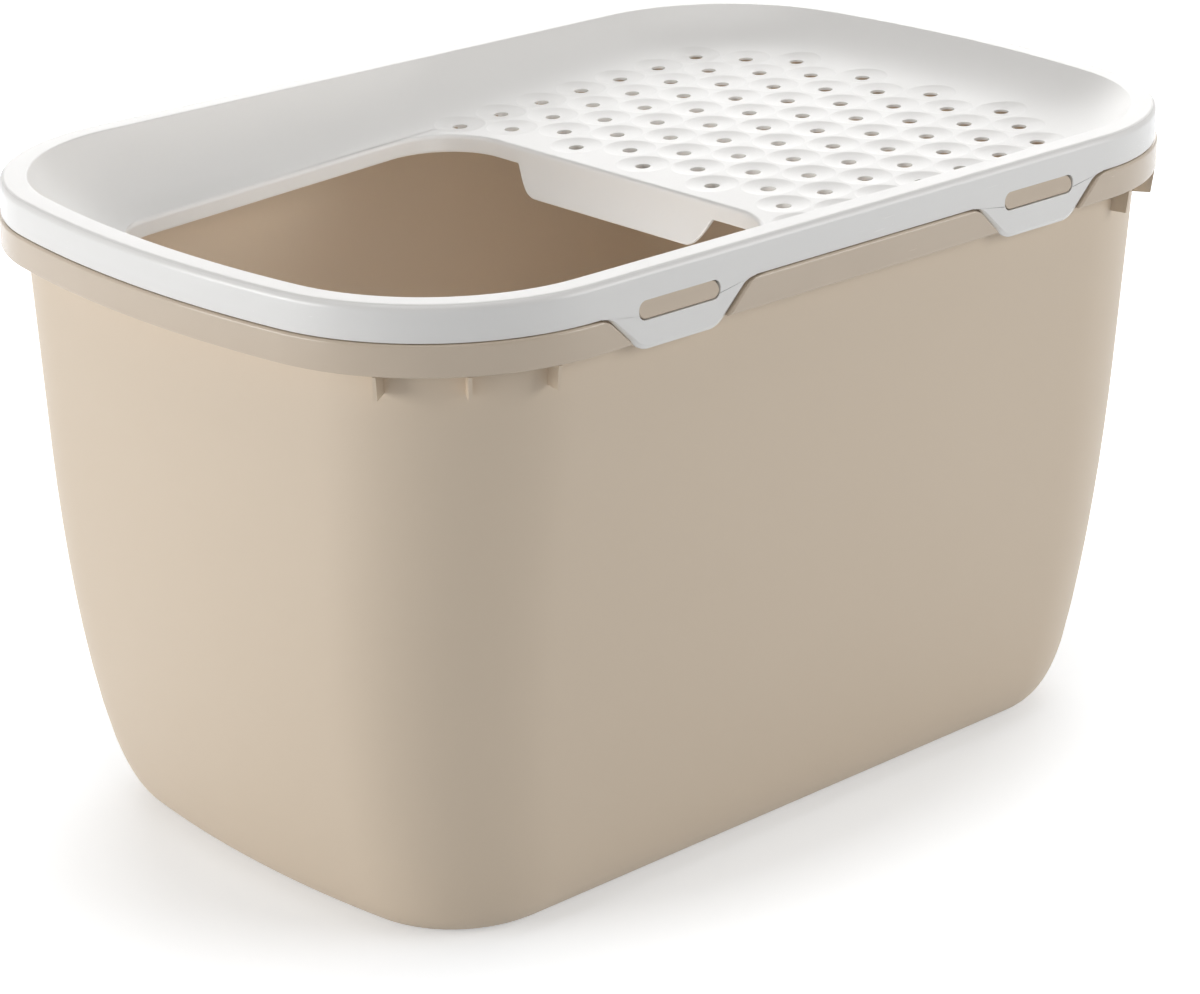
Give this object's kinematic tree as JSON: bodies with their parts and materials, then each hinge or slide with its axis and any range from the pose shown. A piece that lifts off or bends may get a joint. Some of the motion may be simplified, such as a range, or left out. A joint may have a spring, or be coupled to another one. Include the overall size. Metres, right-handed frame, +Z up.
{
  "type": "top entry litter box",
  "caption": "Open moulded tub with a clip-on lid whose hollow tray holds a large entry opening with a curved lip and a perforated deck.",
  "frame": {"origin": "bottom centre, on the surface that the tub stands on", "axes": "+X along the length from the entry opening to the perforated deck, +Y along the width, +Z up"},
  "size_m": [0.5998, 0.394, 0.345],
  "materials": {
    "tub_plastic": "satin",
    "lid_plastic": "satin"
  },
  "bodies": {
    "tub": {"tub_shell": "tub_plastic", "tub_rim": "tub_plastic", "ribs_front_left": "tub_plastic", "ribs_front_right": "tub_plastic", "ribs_back_left": "tub_plastic", "ribs_back_right": "tub_plastic", "catch_front_left": "tub_plastic", "catch_front_right": "tub_plastic", "catch_back_left": "tub_plastic", "catch_back_right": "tub_plastic"},
    "lid": {"lid_rim": "lid_plastic", "lid_tray": "lid_plastic", "lid_deck": "lid_plastic", "entry_collar": "lid_plastic"},
    "clip_front_left": {"clip_front_left": "lid_plastic"},
    "clip_front_right": {"clip_front_right": "lid_plastic"},
    "clip_back_left": {"clip_back_left": "lid_plastic"},
    "clip_back_right": {"clip_back_right": "lid_plastic"}
  },
  "joints": [
    {"name": "lid_lift", "type": "slide", "parent": "tub", "child": "lid", "axis": [0, 0, 1], "range_m": [0, 0.18]},
    {"name": "clip_front_left_flex", "type": "hinge", "parent": "lid", "child": "clip_front_left", "pos_m": [-0.1272, -0.1949, 0.3327], "axis": [-1, 0, 0], "range_deg": [0, 15], "stiffness_Nm_per_rad": 0.6},
    {"name": "clip_front_right_flex", "type": "hinge", "parent": "lid", "child": "clip_front_right", "pos_m": [0.1272, -0.1949, 0.3327], "axis": [-1, 0, 0], "range_deg": [0, 15], "stiffness_Nm_per_rad": 0.6},
    {"name": "clip_back_left_flex", "type": "hinge", "parent": "lid", "child": "clip_back_left", "pos_m": [-0.1272, 0.1949, 0.3327], "axis": [1, 0, 0], "range_deg": [0, 15], "stiffness_Nm_per_rad": 0.6},
    {"name": "clip_back_right_flex", "type": "hinge", "parent": "lid", "child": "clip_back_right", "pos_m": [0.1272, 0.1949, 0.3327], "axis": [1, 0, 0], "range_deg": [0, 15], "stiffness_Nm_per_rad": 0.6}
  ]
}
